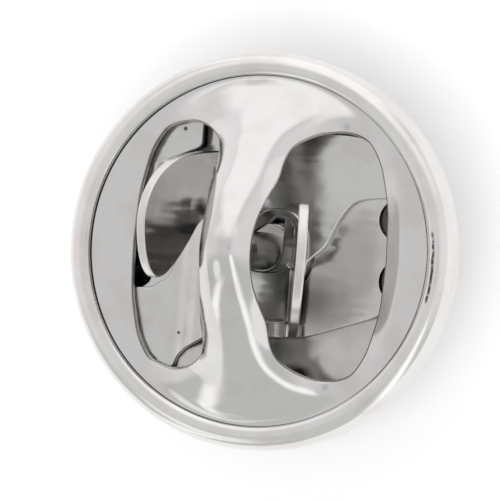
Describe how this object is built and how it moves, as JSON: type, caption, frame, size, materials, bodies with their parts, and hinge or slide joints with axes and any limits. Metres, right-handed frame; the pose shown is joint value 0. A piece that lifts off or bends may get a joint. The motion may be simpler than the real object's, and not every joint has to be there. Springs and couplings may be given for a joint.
{
  "type": "butterfly clutch pin back",
  "caption": "Pin back for a badge: a flat round pad with a pointed post, gripped by a round butterfly clutch with an arched bridge and squeeze wings.",
  "frame": {"origin": "centre of the pad's outer face, on which the object stands", "axes": "+Z along the post toward the clutch's bridge, +Y along the bridge, wings open along X"},
  "size_m": [0.0116, 0.0116, 0.0089],
  "materials": {
    "pin_nickel": "satin nickel plate",
    "plate_nickel": "polished nickel plate",
    "cap_nickel": "polished nickel plate",
    "spring_nickel": "bright nickel plate with fine rolling marks"
  },
  "bodies": {
    "pin": {"pin": "pin_nickel"},
    "clutch": {"nib_plate": "plate_nickel", "cap": "cap_nickel", "spring_strip": "spring_nickel"},
    "left_wing": {"left_wing": "spring_nickel"},
    "right_wing": {"right_wing": "spring_nickel"}
  },
  "joints": [
    {"name": "clutch_slide", "type": "slide", "parent": "pin", "child": "clutch", "axis": [0, 0, 1], "range_m": [0, 0.006]},
    {"name": "left_squeeze", "type": "slide", "parent": "clutch", "child": "left_wing", "axis": [1, 0, 0], "range_m": [0, 0.0004], "stiffness_N_per_m": 500, "springref_m": -0.0002},
    {"name": "right_squeeze", "type": "slide", "parent": "clutch", "child": "right_wing", "axis": [-1, 0, 0], "range_m": [0, 0.0004], "stiffness_N_per_m": 500, "springref_m": -0.0002}
  ]
}
